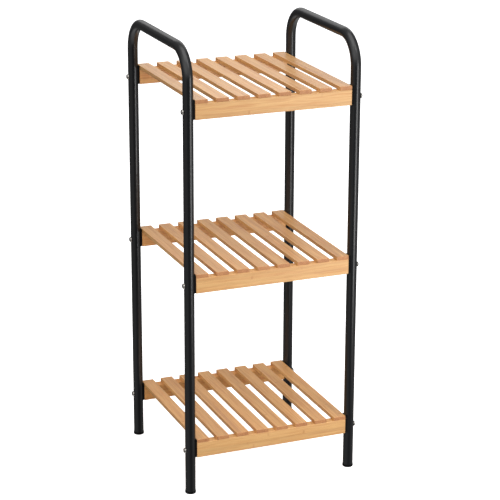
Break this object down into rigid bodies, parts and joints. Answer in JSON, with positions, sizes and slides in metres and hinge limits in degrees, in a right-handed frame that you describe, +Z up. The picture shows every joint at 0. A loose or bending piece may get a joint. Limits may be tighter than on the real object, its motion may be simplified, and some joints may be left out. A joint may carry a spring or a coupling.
{
  "type": "three-tier slatted storage rack",
  "caption": "Free-standing bathroom storage rack: slatted bamboo shelves screwed between two side frames of bent black steel tube.",
  "frame": {"origin": "on the floor, in the middle of the four feet", "axes": "+X to the right frame as seen from the front, +Y from front to rear along the slats, +Z up along the legs"},
  "size_m": [0.3636, 0.3292, 0.884],
  "materials": {
    "powder_coated_steel": "satin black powder coat on round steel tube",
    "lacquered_bamboo": "clear satin lacquer on laminated bamboo strips",
    "zinc_plated_steel": "bright zinc plate",
    "moulded_black_plastic": "matt moulded"
  },
  "bodies": {
    "root": {"bottom_shelf_front_left_screw": "zinc_plated_steel", "bottom_shelf_front_left_spacer": "moulded_black_plastic", "bottom_shelf_front_rail": "lacquered_bamboo", "bottom_shelf_front_right_screw": "zinc_plated_steel", "bottom_shelf_front_right_spacer": "moulded_black_plastic", "bottom_shelf_rear_left_screw": "zinc_plated_steel", "bottom_shelf_rear_left_spacer": "moulded_black_plastic", "bottom_shelf_rear_rail": "lacquered_bamboo", "bottom_shelf_rear_right_screw": "zinc_plated_steel", "bottom_shelf_rear_right_spacer": "moulded_black_plastic", "bottom_shelf_slat_1": "lacquered_bamboo", "bottom_shelf_slat_2": "lacquered_bamboo", "bottom_shelf_slat_3": "lacquered_bamboo", "bottom_shelf_slat_4": "lacquered_bamboo", "bottom_shelf_slat_5": "lacquered_bamboo", "bottom_shelf_slat_6": "lacquered_bamboo", "bottom_shelf_slat_7": "lacquered_bamboo", "bottom_shelf_slat_8": "lacquered_bamboo", "front_left_foot_cap": "moulded_black_plastic", "front_right_foot_cap": "moulded_black_plastic", "left_side_frame": "powder_coated_steel", "middle_shelf_front_left_screw": "zinc_plated_steel", "middle_shelf_front_left_spacer": "moulded_black_plastic", "middle_shelf_front_rail": "lacquered_bamboo", "middle_shelf_front_right_screw": "zinc_plated_steel", "middle_shelf_front_right_spacer": "moulded_black_plastic", "middle_shelf_rear_left_screw": "zinc_plated_steel", "middle_shelf_rear_left_spacer": "moulded_black_plastic", "middle_shelf_rear_rail": "lacquered_bamboo", "middle_shelf_rear_right_screw": "zinc_plated_steel", "middle_shelf_rear_right_spacer": "moulded_black_plastic", "middle_shelf_slat_1": "lacquered_bamboo", "middle_shelf_slat_2": "lacquered_bamboo", "middle_shelf_slat_3": "lacquered_bamboo", "middle_shelf_slat_4": "lacquered_bamboo", "middle_shelf_slat_5": "lacquered_bamboo", "middle_shelf_slat_6": "lacquered_bamboo", "middle_shelf_slat_7": "lacquered_bamboo", "middle_shelf_slat_8": "lacquered_bamboo", "rear_left_foot_cap": "moulded_black_plastic", "rear_right_foot_cap": "moulded_black_plastic", "right_side_frame": "powder_coated_steel", "top_shelf_front_left_screw": "zinc_plated_steel", "top_shelf_front_left_spacer": "moulded_black_plastic", "top_shelf_front_rail": "lacquered_bamboo", "top_shelf_front_right_screw": "zinc_plated_steel", "top_shelf_front_right_spacer": "moulded_black_plastic", "top_shelf_rear_left_screw": "zinc_plated_steel", "top_shelf_rear_left_spacer": "moulded_black_plastic", "top_shelf_rear_rail": "lacquered_bamboo", "top_shelf_rear_right_screw": "zinc_plated_steel", "top_shelf_rear_right_spacer": "moulded_black_plastic", "top_shelf_slat_1": "lacquered_bamboo", "top_shelf_slat_2": "lacquered_bamboo", "top_shelf_slat_3": "lacquered_bamboo", "top_shelf_slat_4": "lacquered_bamboo", "top_shelf_slat_5": "lacquered_bamboo", "top_shelf_slat_6": "lacquered_bamboo", "top_shelf_slat_7": "lacquered_bamboo", "top_shelf_slat_8": "lacquered_bamboo"}
  },
  "joints": []
}
